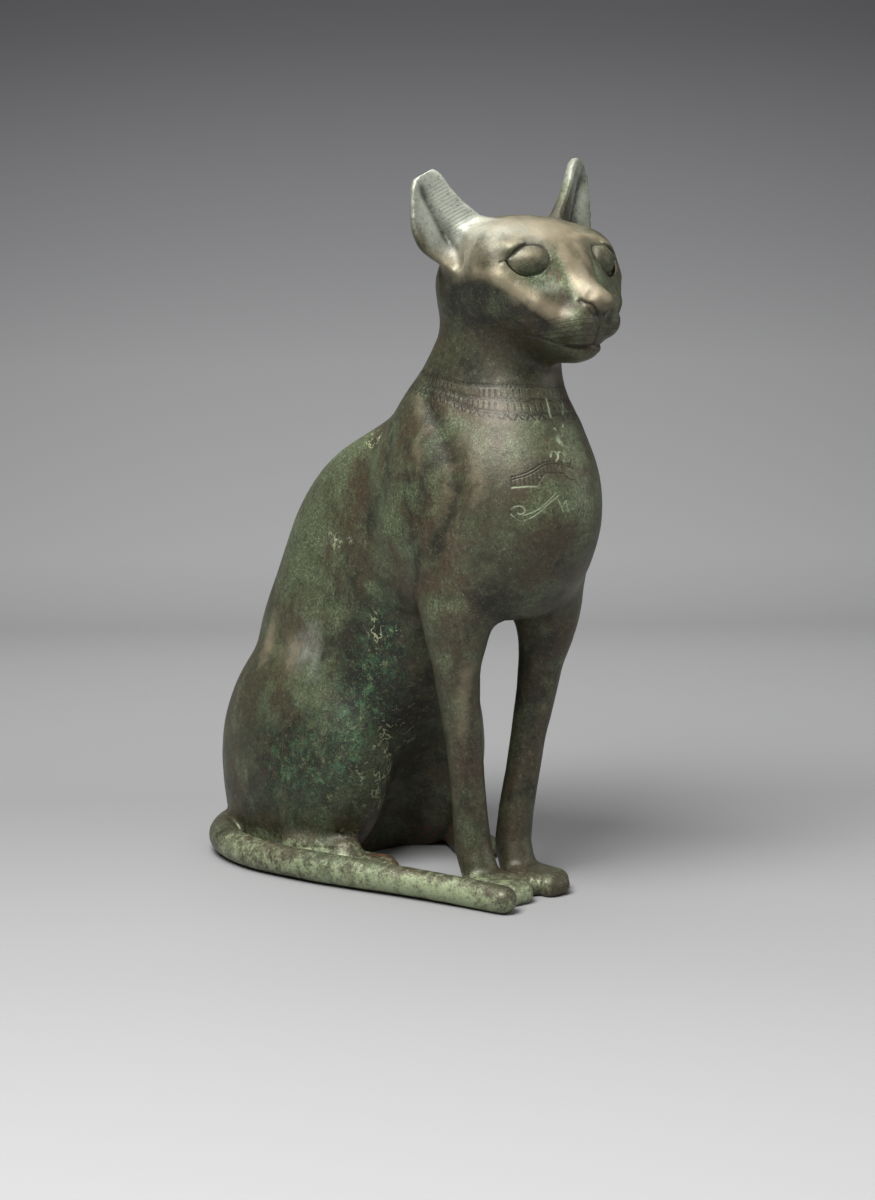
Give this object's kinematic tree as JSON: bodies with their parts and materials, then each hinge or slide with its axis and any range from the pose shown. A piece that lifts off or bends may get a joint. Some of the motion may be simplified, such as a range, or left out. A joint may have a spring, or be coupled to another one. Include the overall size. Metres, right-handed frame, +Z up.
{
  "type": "bastet cat figure",
  "caption": "Seated cat cast in bronze: upright head with tall ears, slim straight forelegs, rounded haunches and a tail curled along its right side; stands on its flat underside.",
  "frame": {"origin": "on the standing plane, on the cat's middle plane, under the middle of the seat", "axes": "+Z up, -Y the way the cat faces, +X to the cat's left; the tail lies along -X"},
  "size_m": [0.1219, 0.2378, 0.3198],
  "materials": {
    "bronze": "brown cast bronze under mottled green patina, satin where rubbed"
  },
  "bodies": {
    "root": {"bronze_cat": "bronze"}
  },
  "joints": []
}
